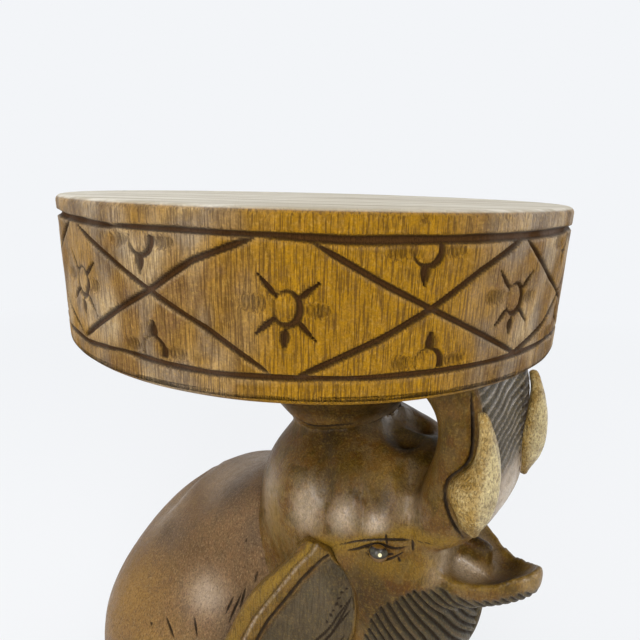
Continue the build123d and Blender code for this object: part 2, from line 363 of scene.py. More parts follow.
def stained_wood(name, colours, grain_period=1.6, grain_depth=0.12, grain_dark=0.35, roughness=0.36,
                 coat=0.12, mottle=0.8, patch_size=26.0, stretch=0.09, specular=0.25, flecks=0.3):
    """Light hardwood, carved, stained by hand and waxed: the stain is blotchy, gathers dark in the cuts
    and along the open pores, and is rubbed thin and golden on the high places."""
    material, tree, shader, space = new_material(name)
    lengthwise = add(tree, "Mapping", {"Vector": space, "Scale": (1, 1, stretch)})
    patches = blotches(tree, space, patch_size, 3.0, 0.6, 0.38, 0.62)
    clouds = blotches(tree, space, 7.0, 4.0, 0.6, 0.35, 0.65)
    grit = blotches(tree, space, 0.9, 3.0, 0.7, 0.35, 0.65)
    grain = blotches(tree, lengthwise, grain_period, 4.0, 0.65, 0.38, 0.62)
    pores = blotches(tree, lengthwise, grain_period * 0.55, 2.0, 0.5, 0.40, 0.47, 1.0, 0.0)
    rubbed = blotches(tree, space, 1.4, 3.0, 0.6, 0.53, 0.62, 0.0, flecks)
    murky = blotches(tree, space, 11.0, 4.0, 0.6, 0.50, 0.60, 0.0, 0.7 * mottle)
    # The pale coat lays rubbed places and painted highlights, the dark coat stain and painted shade, and the
    # grey coat grey stain with some painted light.
    coats = [(patches, "second"), (murky, "murk")]
    for stain, unevenness in (("bloom", 0.35), ("gold", 0.6), ("ash", 0.2), ("dark", 0.45)):
        spread = mottle * unevenness
        there = add(tree, "Attribute", {}, "Fac", attribute_name=stain)
        uneven = add(tree, "Math", [clouds, spread, -spread / 2], operation="MULTIPLY_ADD")
        coats.append((add(tree, "Math", [there, uneven], operation="ADD", use_clamp=True), stain))
    cut, wear_and_highlight_share = (add(tree, "Attribute", {}, "Fac", attribute_name=stain) for stain in ("cut", "bloom"))
    deep = add(tree, "MapRange", [cut, 0.05, 0.75])
    shallow = add(tree, "Math", [1.0, cut], operation="SUBTRACT")
    brink = add(tree, "Math", [shallow, cut], operation="MULTIPLY")
    coats += [
        (rubbed, "fleck"),
        (add(tree, "MapRange", [grain, 0.0, 1.0, grain_dark * 0.6, 0.0]), "dark"),
        (add(tree, "MapRange", [grit, 0.0, 1.0, 0.38, 0.0]), "dark"),
        (add(tree, "MapRange", [pores, 0.0, 1.0, 0.0, grain_dark]), "cut"),
        (deep, "cut"),
        (add(tree, "MapRange", [brink, 0.10, 0.25, 0.0, 0.6]), "edge"),
    ]
    wear_and_sheen = add(tree, "MapRange", [clouds, 0.0, 1.0, roughness - 0.07, roughness + 0.12])
    rise = add(tree, "Math", [pores, -0.8, grain], operation="MULTIPLY_ADD")
    rise = add(tree, "Math", [grit, 0.6, rise], operation="MULTIPLY_ADD")
    plug(shader, {
        "Base Color": layered(tree, linear(colours["base"]), [(share, colours[key]) for share, key in coats]),
        "Roughness": add(tree, "Math", [deep, 0.3, wear_and_sheen], operation="MULTIPLY_ADD", use_clamp=True),
        "Specular IOR Level": add(tree, "MapRange", [wear_and_highlight_share, 0.0, 0.8, 0.4 * specular, 2 * specular]),
        "Coat Weight": add(tree, "MapRange", [wear_and_highlight_share, 0.0, 0.8, 0.4 * coat, 3 * coat]),
        "Coat Roughness": 0.22,
        "Normal": add(tree, "Bump", {"Height": rise, "Strength": 1.0, "Distance": grain_depth * MM}),
    })
    return material


# ---- settings -----------------------------------------------------------------------------
def hex_colour(name, default, description):
    """A colour that a user may change."""
    return StringProperty(name=name, default=default, description=description + ", sRGB hex")


class StoolSeatSettings(bpy.types.PropertyGroup):
    steps: IntProperty(name="Steps", default=1000, min=90, description="Cells round the rim")
    groove_depth: FloatProperty(name="Groove depth", default=2.2 * MM, unit="LENGTH", subtype="DISTANCE",
                                description="Depth of the lattice cuts")
    base: hex_colour("Stain", "#A37A34", "Wood of the rim where the stain is thin")
    second: hex_colour("Second stain", "#84623A", "Wood of the rim where the stain is fuller")
    gold: hex_colour("Gold", "#B38208", "Golden patches of the stain")
    top: hex_colour("Top", "#E9E3D4", "Sitting surface, bleached by use")


class StoolElephantSettings(bpy.types.PropertyGroup):
    head_cell: FloatProperty(name="Head cell", default=2.1 * MM, unit="LENGTH", subtype="DISTANCE",
                             description="Cell of the head's skin before it is halved")
    body_cell: FloatProperty(name="Body cell", default=3.2 * MM, unit="LENGTH", subtype="DISTANCE",
                             description="Cell of the body's skin before it is halved")
    base: hex_colour("Stain", "#6E5022", "Brown stain of the elephant")
    second: hex_colour("Second stain", "#5A390F", "Fuller brown stain")
    gold: hex_colour("Gold", "#87671E", "Golden places")
    # Also painted shade on the crown, between the bulges and inside the mouth.
    dark: hex_colour("Dark", "#2C1C03", "Stain gathered in the hollows")
    # Pale places rubbed through, and the painted highlights on the lit places.
    bloom: hex_colour("Bloom", "#BEA88B", "Pale places, rubbed through")
    # Also painted light on the dome and the saddle before the crown.
    ash: hex_colour("Ash", "#454234", "Grey stain of the hatched places")
    body: hex_colour("Body", "#7C5E3E", "Stain of the body, thinner than on the head")
    tusk: hex_colour("Tusk", "#CDB277", "Pale wood of the tusks")


# ---- seat ---------------------------------------------------------------------------------
GOLDEN_BEARING = 228      # where the rim is golden, degrees from +X
# The nine crosses of the lattice: bearing, degrees from +X, and height of the crossing.
CROSSES = [
    (194.6, 428), (238.5, 425.1), (275.4, 421.6), (315.4, 425.5), (355.2, 424),
    (395, 426.6), (435, 424.2), (474.6, 425.8), (514.4, 424.4),
]
FLOWER_BEARINGS = (216.8, 255.6, 295.2, 335.3, 375, 415.2, 454.8, 494.5, 536.2)
BAND_LOW, BAND_HIGH = 400.0, 450.2
CHATTER = 1.9             # millimetres between the marks that a blade leaves in a scoop
# Strokes of the border grooves: bearings and heights from end to end, and half their width.
UPPER_BORDER = [
    ((140, 450.5), (164, 451.8), (189, 450.2), 1.9), ((187.5, 450.6), (200, 451), (214, 450.6), 1.5),
    ((209, 451.2), (225, 449.6), (281, 450.8), 2.3), ((277, 450.4), (300, 451.5), (322, 450), 1.8),
    ((318, 450.8), (338, 449.6), (366, 451), 2.1), ((362, 450.2), (384, 451.3), (405, 450.1), 1.7),
    ((401, 450.9), (422, 449.7), (452, 450.9), 2.1), ((448, 450.2), (475, 451.2), (503, 450.3), 1.8),
]
LOWER_BORDER = [
    ((150, 399.5), (176, 398.4), (189, 401.2), 1.5), ((186, 401), (205, 399.2), (227, 400.2), 1.5),
    ((221, 399.6), (240, 400.6), (274, 401.6), 1.5), ((270, 401.4), (290, 400.4), (312, 401.6), 1.5),
    ((308, 401), (332, 399.4), (352, 400.8), 1.6), ((348, 400.2), (372, 401.6), (396, 400.2), 1.4),
    ((392, 400.9), (418, 399.5), (440, 401), 1.6), ((436, 400.3), (462, 401.5), (484, 400), 1.5),
    ((480, 400.6), (500, 399.6), (514, 400.4), 1.5),
]


class Rim:
    """The seat's rim rolled out flat: bearing and height, with what is cut from it, and the lower lips of the
    cuts rubbed pale and painted as lit.
    """

    def __init__(self, bearing, z):
        self.bearing = bearing
        self.z = z
        self.depth = np.zeros(len(z))
        self.cut = np.zeros(len(z))
        self.pale = np.zeros(len(z))
        self.wobble = ripple(np.column_stack([bearing, z, np.zeros(len(z))]), 9.0, 3)

    def local(self, bearing, z):
        """Millimetres along the rim and up from a place on it."""
        turn = (self.bearing - bearing + 180) % 360 - 180
        return np.radians(turn) * SEAT_RADIUS, self.z - z

    def take(self, near, depth, cut):
        """Cuts and darkens where near, where that is deeper and darker than what is there."""
        self.depth[near] = np.maximum(self.depth[near], depth)
        self.cut[near] = np.maximum(self.cut[near], cut)

    def stroke(self, path, half_width, depth, taper):
        """One cut of the lattice along a path of bearings and heights, with a pale lower edge: chipped, and a
        painted highlight where light from above catches it.
        """
        middle = path[len(path) // 2][0]
        x, z = self.local(middle, 0)
        line = np.array([(np.radians(b - middle) * SEAT_RADIUS, h) for b, h in path])
        low, high = line.min(0) - 4, line.max(0) + 4
        near = (x > low[0]) & (x < high[0]) & (z > low[1]) & (z < high[1])
        gap, share = along_path(np.column_stack([x, z])[near], line)
        ends = from_ends(share, taper) ** 0.6
        width = half_width * (0.35 + 0.65 * ends) * (1 + 0.2 * self.wobble[near])
        cut = gouge(gap, width) * (0.45 + 0.55 * ends)
        self.take(near, depth * cut, cut)
        # The lower lip of the cut is paled: chips, and a painted highlight where light from above falls.
        below = z[near] < np.interp(x[near], line[:, 0], line[:, 1])
        wear_and_sheen = below * np.exp(-((gap - 1.1 * width) / 0.6) ** 2) * (0.6 + 0.6 * self.wobble[near])
        self.pale[near] = np.maximum(self.pale[near], wear_and_sheen)

    def leaf(self, bearing, z, angle, inner, outer, half_width, depth, dark=1.0):
        """A notch pointing away from a button: angle anticlockwise from along the rim."""
        x, up = self.local(bearing, z)
        c, s = math.cos(math.radians(angle)), math.sin(math.radians(angle))
        out, side = x * c + up * s, -x * s + up * c
        share = (out - inner) / (outer - inner)
        near = (share > 0) & (share < 1) & (abs(side) < half_width)
        width = half_width * np.sin(np.pi * np.clip(share[near], 0, 1) ** 0.6)
        cut = gouge(np.abs(side[near]), np.maximum(width, 0.05))
        self.take(near, depth * cut, dark * cut)

    def scoop(self, bearing, z, dx, dz, half_x, half_z, depth):
        """A shallow gouge mark with the chatter of the blade in it."""
        x, up = self.local(bearing, z)
        x, up = x - dx, up - dz
        gap = np.hypot(x / half_x, up / half_z)
        near = gap < 1
        cut = 1 - gap[near] ** 4
        chatter = 0.3 * np.sin(2 * np.pi * (x[near] + 0.25 * up[near]) / CHATTER)
        self.take(near, depth * cut * (1 + chatter), 0.3 * cut * (0.7 + chatter))

    def button(self, bearing, z, half_x, half_z, depth, keep=0):
        """An oval left standing in a cut that is widest on its right; keep leaves out one side."""
        x, up = self.local(bearing, z)
        across = np.hypot(x / half_x, up / half_z)
        near = (across < 1.9) & (keep * up > -half_z * 0.4 if keep else True)
        gap = np.abs(across[near] - 1.1) * half_x
        facing = 0.5 + 0.5 * np.cos(np.arctan2(up[near], x[near]) + 0.35)
        cut = gouge(gap, 0.7 + 1.2 * facing ** 2)
        self.take(near, depth * cut * (0.45 + 0.55 * facing), cut * (0.3 + 0.7 * facing))
        inside = across < 1
        self.take(inside, 0.9 * across[inside] ** 4, 0 * across[inside])


def cut_flower(rim, bearing, z, number):
    """An oval button with six notches round it, the side ones shallow scoops."""
    swing = 3.0 * math.sin(2.3 * number)
    rim.scoop(bearing, z, -12, 1.6, 6.6, 3.6, 1)
    rim.scoop(bearing, z, 11, -0.4, 5.6, 3.3, 1)
    rim.button(bearing, z, 4.4, 5.6, 1.7)
    for angle, reach in ((130, 17.2), (39, 15.9), (221, 16.2), (312, 17.0)):
        rim.leaf(bearing, z, angle + swing, 5.4, reach, 1.35, 2)
    rim.leaf(bearing, z, 267 - swing, 7.8, 15.5, 2.6, 1.7, 0.75)


def cut_half_button(rim, bearing, z, side):
    """Half a button standing against a border groove; side is 1 where it rises from the lower one."""
    rim.scoop(bearing, z, -10.8, 0.6 * side, 5.4, 3.4, 1.1)
    rim.scoop(bearing, z, 11.2, 0.3 * side, 6, 3, 1)
    rim.button(bearing, z, 5, 5.2, 1.9, keep=side)
    rim.leaf(bearing, z, 90 * side - 3, 5.2, 12.8, 3, 1.8, 0.8)


def cut_band(rim, depth):
    """The lattice band between the two border grooves."""
    for border, part in ((UPPER_BORDER, 1.0), (LOWER_BORDER, 0.8)):
        for *path, half_width in border:
            rim.stroke(path, half_width, part * depth, 0.16)
    for number, ((bearing, z), flower) in enumerate(zip(CROSSES, FLOWER_BEARINGS)):
        bend = 1.0 + 0.9 * math.sin(1.7 * number + 1.0)
        falling = [(-18.2, BAND_HIGH - 1.5), (-8, z + 9.7), (0, z), (10, z - 13.3 + bend),
                   (19.5, BAND_LOW + 1.5)]
        rising = [(-20, BAND_LOW + 0.5), (-8, z - 11.5 + 0.5 * bend), (0, z), (8, z + 12.6),
                  (17.6, BAND_HIGH - 0.5)]
        for line, half_width, part in ((falling, 1.5, 0.85), (rising, 1.75, 1.0)):
            rim.stroke([(bearing + turn, height) for turn, height in line], half_width, part * depth, 0.08)
        cut_half_button(rim, bearing - 1.4, 446.4, -1)
        cut_half_button(rim, bearing + 0.1, 404.4, 1)
        cut_flower(rim, flower, 425.6, number)


def turned_seat(steps):
    """The seat's disc with rounded edges, finely divided where the band is cut."""
    turns = [math.radians(degrees) for degrees in range(0, 91, 18)]
    outline = [(r, SEAT_TOP) for r in (4, 50, 90, 120, 131)]
    outline += [(SEAT_RADIUS - 3 + 3 * math.sin(a), SEAT_TOP - 3 + 3 * math.cos(a)) for a in turns]
    outline += [(SEAT_RADIUS, z) for z in (455.2, 453.6, *np.linspace(452.8, 397.2, 69), 395.6, 393.4, 391.0)]
    outline += [(SEAT_RADIUS - 5 + 5 * math.cos(a), SEAT_UNDERSIDE + 5 - 5 * math.sin(a)) for a in turns]
    outline += [(r, SEAT_UNDERSIDE) for r in (118, 60, 4)]
    bm = bmesh.new()
    corners = [bm.verts.new((r * MM, 0, z * MM)) for r, z in outline]
    for start, end in zip(corners, corners[1:]):
        bm.edges.new((start, end))
    bmesh.ops.spin(bm, geom=bm.verts[:] + bm.edges[:], cent=(0, 0, 0), axis=(0, 0, 1), dvec=(0, 0, 0),
                   angle=2 * math.pi, steps=steps, use_merge=True, use_duplicate=False)
    bmesh.ops.holes_fill(bm, edges=bm.edges, sides=0)
    bmesh.ops.recalc_face_normals(bm, faces=bm.faces)
    return new_object("carved_seat", bm)


def carve_seat(carving, rim, radius):
    """Takes the band, faint flats and chips from the rim, and stains it: golden on one side and rubbed
    grey and pale round the others, with a painted highlight on the lower lips of the cuts."""
    points = carving.points
    on_side = ease(SEAT_RADIUS - 6, SEAT_RADIUS - 2, radius)
    flats = 0.35 + 0.35 * ripple(points, 22, 1)
    chips = np.maximum(0, ripple(points, 6, 5) - 0.1) * ease(SEAT_TOP - 6, SEAT_TOP - 1, points[:, 2])
    carving.height = -on_side * (flats + 2.2 * chips + rim.depth)
    away = ease(10, 24, np.abs((rim.bearing - GOLDEN_BEARING + 180) % 360 - 180))
    high = ease(430, 455, points[:, 2])
    upright = points * (1, 1, 0.5)
    carving.stain(
        cut=rim.cut * on_side,
        gold=0.95 - away * (0.75 - 1.3 * ripple(upright, 20, 8)),
        # The pale stain also holds the painted highlight on the lower lips of the cuts.
        bloom=np.maximum(away * (0.2 + 0.3 * high + 1.3 * ripple(upright, 14, 9)), 0.75 * rim.pale * on_side),
        ash=away * np.clip(1.6 * ripple(points, 12, 11) + 0.3 * high, 0, 0.6),
        dark=0.18 * ease(408, 392, points[:, 2]) * away,
        top=ease(SEAT_TOP - 1.4, SEAT_TOP - 0.3, points[:, 2]),
    )


def seat_wood(settings):
    """Open-grained hardwood of the seat: ochre stain over upright dark pores, and a bleached top whose
    grain runs across it in long pale bands."""
    colours = {"base": settings.base, "second": settings.second, "gold": settings.gold, "bloom": "#CBAE7C",
               "ash": "#7A6F62", "dark": "#4A3008", "cut": "#4A3014", "edge": "#1A1004",
               "murk": "#7A5A2C", "fleck": "#C9A04E"}
    material = stained_wood("ochre_stained_open_grain_wood", colours, grain_period=1.0, grain_depth=0.3,
                            grain_dark=0.6, roughness=0.55, coat=0.0, mottle=1.0, stretch=0.045)
    tree = material.node_tree
    shader = tree.nodes["Principled BSDF"]
    place = add(tree, "TexCoord", {}, "Object")
    turned = add(tree, "Mapping", {"Vector": place, "Rotation": (0, 0, math.radians(50))})
    across = add(tree, "Mapping", {"Vector": turned, "Scale": (12, 140, 1)})
    bands = blotches(tree, across, 1.0, 4.0, 0.6, 0.42, 0.62)
    pale = layered(tree, linear(settings.top), [(bands, "#C3B8A2")])
    top = add(tree, "Attribute", {}, "Fac", attribute_name="top")
    stained = shader.inputs["Base Color"].links[0].from_socket
    plug(shader, {"Base Color": add(tree, "Mix", {0: top, 6: stained, 7: pale}, 2, data_type="RGBA")})
    return material


class STOOL_OT_seat(bpy.types.Operator):
    """Turn the seat and cut the lattice band into its rim"""
    bl_idname = "stool.seat"
    bl_label = "Seat"

    def execute(self, context):
        settings = context.scene.stool_seat
        piece = turned_seat(settings.steps)
        points, _ = surface(piece)
        radius = np.hypot(points[:, 0], points[:, 1])
        rim = Rim(np.degrees(np.arctan2(points[:, 1], points[:, 0])), points[:, 2])
        cut_band(rim, settings.groove_depth / MM)
        carving = Carving(points, points * (1, 1, 0) / np.maximum(radius, 1)[:, None])
        carve_seat(carving, rim, radius)
        settle(carved(piece, carving), seat_wood(settings), "seat_wood", "seat")
        return {"FINISHED"}


# ---- elephant -----------------------------------------------------------------------------
def elephant_colours(settings, **changes):
    """The elephant's stains by their keys, with a piece's own changes."""
    colours = {key: getattr(settings, key) for key in ("base", "second", "gold", "dark", "bloom", "ash")}
    return {**colours, "cut": "#2A1E10", "edge": "#1E150B", "murk": "#463608", "fleck": "#A0843C", **changes}


def both_sides(piece):
    """A carving of the piece, and one of both its sides laid on the right one, so that what is cut there
    is cut on both."""
    points, normals = surface(piece)
    laid, turned = points.copy(), normals.copy()
    laid[:, 0] = -np.abs(points[:, 0])
    turned[points[:, 0] > 0, 0] *= -1
    return Carving(points, normals), Carving(laid, turned)


def merged(carving, side):
    """Adds what is carved on both sides to the whole piece."""
    carving.height += side.height
    carving.stain(**side.stains)


# Lines on the right side of the head, which both sides get.
BROW_LINE = [(-56.2, -69, 283.3), (-53.4, -77.7, 289), (-48.9, -87, 292.1), (-43.2, -95.3, 293.2),
             (-38, -101.1, 293), (-36.4, -107, 294.6), (-35.8, -112, 295.6)]
LID_LINE = [(-55.3, -73.6, 282.2), (-52.8, -80.7, 286), (-50.6, -86, 289.6), (-45.6, -94.1, 289.6),
            (-42.6, -97.9, 288.2), (-40, -100.2, 290)]
LOWER_LID = [(-51.8, -83.8, 284.7), (-51.4, -87.6, 281.6), (-47.8, -92.8, 282.2), (-44.2, -97.1, 285),
             (-41.2, -99.8, 287.8)]
BROW_TICKS = [
    [(-52.2, -82.5, 286.9), (-51.6, -86, 288)],
    [(-48.6, -93.5, 286.2), (-45.4, -96.4, 286.6)],
    [(-45.4, -91.1, 296), (-45.8, -92.2, 292.4), (-46.4, -92.6, 290)],
    [(-36.6, -101.9, 293.4), (-37.4, -103.4, 288)],
    [(-43, -97.5, 285), (-42, -98.4, 282.4)],
]
BROW_BAND = [(-57, -60, 281), (-55, -72, 284.5), (-50, -84.5, 292), (-43.5, -94, 296),
             (-36, -101, 297), (-35, -112, 298), (-33, -121, 301)]
# Grooves along the tusk's edges; their dark stain also paints the thin shadow line beside the tusk.
TUSK_LINE = [(-28.7, -120.1, 378.7), (-31.3, -123.1, 366.8), (-32.7, -125.3, 353), (-34.4, -124.6, 345.2),
             (-36.9, -119.4, 339.4), (-37.3, -116.2, 335), (-37.7, -116.3, 326.6), (-37.3, -119.6, 317),
             (-34.1, -124.1, 308.5), (-30.5, -125.5, 303.5)]
TUSK_FRONT_LINE = [(-25, -130, 372), (-24, -131, 358), (-23.5, -132, 344), (-24, -132.4, 326)]
LIP_RIM = [(-31.5, -111, 280.5), (-27, -120, 273.5), (-22, -127, 271.5), (-16, -133, 271),
           (-12, -140, 273), (-9, -146, 277.5), (-3, -151, 283)]
CROWN_CREASE = [(-38, -18, 333), (-35.7, -28.1, 333.6), (-34.7, -36.4, 335), (-31, -44.4, 336.4),
                (-23.7, -51.7, 336.6), (-12, -56.5, 337)]
WAIST_LINE = [(-37.7, -23.6, 336.3), (-35.2, -33, 335.8), (-32.7, -44.3, 338.8), (-26.1, -52.6, 340.3)]
# Places whose cells are halved or rubbed down, and how far round them.
EYE, EYE_REACH = (-50, -90, 287.5), 18
LIP_TIP, LIP_REACH = (-8, -138, 274), 26
HATCH_PITCH, WRINKLE_PITCH = 5.9, 4.9
# Upper edge of the hatching: millimetres round the throat from its side, and height.
HATCH_AROUND = (10, 11.5, 14.4, 20, 25, 31, 36, 42, 49, 60, 66, 75, 84, 93, 100)
HATCH_TOP = (150, 170, 225, 250, 260, 264, 267, 272, 272.5, 270, 267.5, 265.5, 267, 271, 275)
# The lower lip: how far it lies in front, and half its width there.
LIP_DEPTHS, LIP_HALF_WIDTHS = (111, 120, 127, 133, 140, 146, 151), (31.5, 27, 22, 16, 12, 9, 3)


def hatch_throat(carving, side):
    """Rows of slanting cuts from the jaw down round the throat, and under the lower lip."""
    x, y, z = side.points.T
    on_lip = ease(250, 259, z) * ease(-116, -124, y)
    around = (1 - on_lip) * 55.0 * np.arctan2(-(y + 70.0), -x) + on_lip * (59.7 - 1.35 * (y + 122.0))
    lean = np.interp(around + 0.85 * (z - 250), [40, 60], [0.69, 1.0])
    row, middle = rows(around + lean * (z - 250) + 1.4 * ripple(side.points, 16, 12), HATCH_PITCH)
    middle /= np.hypot(1, lean)
    swing = np.sin(row * 12.9898) * 43758.5453
    top = np.interp(around, HATCH_AROUND, HATCH_TOP) - (4.0 - 3.0 * on_lip) * (swing - np.floor(swing))
    in_mouth = ease(1, -2, np.abs(x) - np.interp(-y, LIP_DEPTHS, LIP_HALF_WIDTHS) + 2)
    in_mouth *= ease(262, 265, z) * (y < -109)
    throat = ease(0, 4, top - z) * ease(170, 190, z) * (1 - in_mouth)
    cut = (1 - np.clip(middle / 1.8, 0, 1)) ** 1.2 * throat
    carving.height -= (2.2 - 1.2 * on_lip) * cut
    carving.stain(cut=1.1 * cut ** 2.2, ash=throat * (1 - 0.35 * ease(1, 2, middle)))


def wrinkle_trunk(carving):
    """Fine ridges across the front of the trunk, rising to the elephant's left, and a row of pits."""
    x, y, z = carving.points.T
    _, middle = rows(z - 0.36 * x + 2.0 * ripple(carving.points, 15, 6), WRINKLE_PITCH)
    front = ease(0.35, 0.7, -carving.normals[:, 1]) * ease(27, 23, np.abs(x)) * ease(326, 340, z)
    front *= ease(SEAT_UNDERSIDE + 2, SEAT_UNDERSIDE - 4, z) * (y < -115)
    ridge = hollow(middle, 1)
    carving.height += front * (0.7 * ridge - 0.5)
    carving.swells([((26, -127, 380), (9, 9, 28), 5.5)])
    # Painted shadow in the gap between the trunk and the tusk.
    shadow_by_the_tusk = ease(19, 23, x) * ease(-112, -122, y) * ease(330, 345, z)
    carving.stain(cut=0.9 * shadow_by_the_tusk * (0.7 + ripple(carving.points, 4, 8)), bloom=0.95 * front * ridge,
                  ash=front * (1 - 0.55 * ridge), dark=0.35 * front * (1 - ridge))
    for i, height in enumerate(np.arange(322, 372, 5.2)):
        drift = 0.9 * math.sin(2.1 * i)
        path = [(18.5 + drift, -132.0, height - 1.4), (19.5 + drift, -132.0, height + 1.4)]
        carving.stroke(path, 1.5, 1.3, 0.95)


# Bulges and hollows of the skull: centre, radii and height.
HEAD_SWELLS = [
    ((-55, -30, 288), (14, 13, 24), 2.6), ((-51, -71, 301), (14, 9, 9), 2.6),
    ((-46, -87, 302), (12, 6.5, 7), 2.2), ((-57, -57, 283), (7, 9, 8), 2.6),
    ((-11, -79, 332), (8, 9, 9), -6), ((-35, -112, 346), (10, 10, 24), 1.2),
    ((-52.5, -78, 285.5), (7, 6, 3), 0.8),
]
# Channels and ridges of the skull: path, half width and depth.
HEAD_VALLEYS = [
    ([(-36, -38, 328), (-48, -50, 317), (-55, -57, 306), (-57, -59, 298)], 6, 3.4),
    ([(-44, -72, 316), (-48, -77, 309), (-52, -80.5, 297)], 3.2, 2),
    ([(-22, -86, 328), (-27, -91, 322), (-32, -96, 315)], 6, 2.4),
    ([(4, -57, 332), (-8, -60, 332), (-19, -65, 332)], 5.5, -5), (CROWN_CREASE, 7.5, -3.6),
    (LIP_RIM, 2, -0.9),
]
# Lower edge of the brow: distance in front of the neck, and height.
BROW_LEDGE = [(52, 64, 76, 84, 93, 99), (279, 285, 291, 294.6, 297.8, 299.2)]
# Golden on the brow, the cheek and the lips, olive black on the crown and between the bulges, with painted
# shade there; pale spots are mostly painted highlights, and the grey spots before the crown are painted
# light.
HEAD_SPOTS = {
    "gold": [
        ((-47, -92, 279), (14, 16, 8), 0.85), ((-36, -107, 279), (12, 10, 9), 0.7),
        ((-54, -20, 282), (14, 11, 26), 0.8), ((-33, -84, 318), (12, 10, 10), 0.55),
        ((-4, -150, 278), (11, 7, 9), 1.1), ((-42, -62, 322), (9, 9, 8), 0.5),
    ],
    "bloom": [
        # Mostly painted highlights: on the lip's tip, the bulges of the skull, the trunk's front and the top
        # of the dome.
        ((-4, -152, 279), (8, 5, 7), 0.75), ((-53, -14, 284), (10, 12, 22), 0.55),
        ((-57, -47, 297), (8, 9, 14), 0.75), ((-52, -69, 300), (9, 8, 9), 0.75),
        ((-48, -86, 300), (9, 6, 7), 0.9), ((-36, -98, 310), (11, 10, 10), 0.4),
        ((4, -130, 318), (22, 12, 15), 1.4), ((-20, -112, 278), (13, 4, 12), 0.85),
        ((-9, -119, 268), (10, 11, 4), 1), ((-8, -60, 336), (14, 6, 6), 0.6),
    ],
    "ash": [
        # Painted light on the top of the dome and the saddle before the crown.
        ((0, -84, 332), (7, 13, 5), 0.9), ((-10, -61, 334), (14, 8, 5), 0.6),
        ((-52, -54, 312), (8, 8, 10), 0.5),
    ],
    "dark": [
        # Olive black stain with painted shade, under the crown and in the valleys between the bulges.
        ((-22, -42, 327), (26, 18, 14), 1), ((-36, -56, 316), (14, 13, 12), 0.85),
        ((-30, -96, 320), (10, 9, 9), 0.55), ((-36, -84, 309), (10, 8, 7), 0.55),
        ((-50, -86, 258), (16, 18, 20), 0.8), ((-38, -112, 358), (8, 14, 34), 0.45),
        # The first is painted shade on the shaded face of the block inside the mouth.
        ((0, -122, 281), (6, 15, 6), 1), ((-8, -141, 272), (6, 9, 6), 0.7),
        ((-57, -60, 270), (5, 8, 9), 0.5),
    ],
}
# Cuts of the head: path, half width, depth and taper.
HEAD_CUTS = [
    (BROW_LINE, 1, 1, 0.4), (LID_LINE, 0.9, 1.1, 0.25), (LOWER_LID, 0.9, 1, 0.3), (TUSK_LINE, 1.1, 2, 0.1),
    (TUSK_FRONT_LINE, 1.2, 1.8, 0.2), (WAIST_LINE, 0.9, 0.4, 0.3),
]


def model_head(side):
    """The skull's bulges and hollows, the ledge of the brow and the fine cuts, on both sides alike."""
    x, y, z = side.points.T
    side.swells(HEAD_SWELLS)
    side.valleys(HEAD_VALLEYS)
    on_side = ease(-50, -56, y) * ease(-104, -99, y) * ease(-20, -34, x)
    side.height -= on_side * 1.6 * np.exp(-((z - np.interp(-y, *BROW_LEDGE) + 5) / 4.5) ** 2)
    side.fold("body", (y > -72) & (z < 268) & (z > 175))
    for path, half_width, depth, taper in HEAD_CUTS:
        side.stroke(path, half_width, depth, taper=taper)
    for path in BROW_TICKS:
        side.stroke(path, 0.8, 0.7)


def stain_head(side):
    """Stains both sides of the head, paints highlights on its bulges and along the rim of the lip, and paints
    shade on the crown under the seat.
    """
    _, y, z = side.points.T
    side.spots(HEAD_SPOTS)
    side.streak("gold", BROW_BAND, 5, 1)
    side.streak("gold", LIP_RIM, 3.2, 1.1)
    # A painted highlight along the rim of the lip.
    side.streak("bloom", LIP_RIM, 1, 1)
    side.streak("dark", WAIST_LINE, 1.6, 0.7)
    # Painted shade on the crown under the seat; golden on the outer faces of the trunk.
    side.stain(dark=0.72 * ease(334, 346, z) * ease(-100, -80, y),
               gold=0.25 * ease(-98, -108, y) * ease(308, 322, z) * ease(-0.2, 0.4, -side.normals[:, 0]))
    side.stain(dark=0.35 * ease(-8, 8, y) * ease(330, 300, z))


class STOOL_OT_head(bpy.types.Operator):
    """Carve the head with its trunk, and the crown that carries the seat"""
    bl_idname = "stool.head"
    bl_label = "Head and crown"

    def execute(self, context):
        settings = context.scene.stool_elephant
        piece = blank("carved_head", ("head", "crown"), settings.head_cell / MM, 4)
        refined(piece, EYE, EYE_REACH)
        relaxed(piece, 6, LIP_TIP, LIP_REACH)
        carving, side = both_sides(piece)
        model_head(side)
        stain_head(side)
        # Painted shade on the bump before the crown, which faces away from the light.
        carving.spots({"dark": [((-14, -81, 330), (9, 10, 8), 1.2)]})
        merged(carving, side)
        hatch_throat(carving, side)
        wrinkle_trunk(carving)
        carving.height += 0.25 * ripple(carving.points, 12, 4)
        material = stained_wood("brown_stained_waxed_wood", elephant_colours(settings), grain_dark=0.22,
                                mottle=1.0, stretch=0.3, flecks=0.2)
        settle(thinned(carved(piece, carving)), material, "head_wood", "head", "crown")
        return {"FINISHED"}


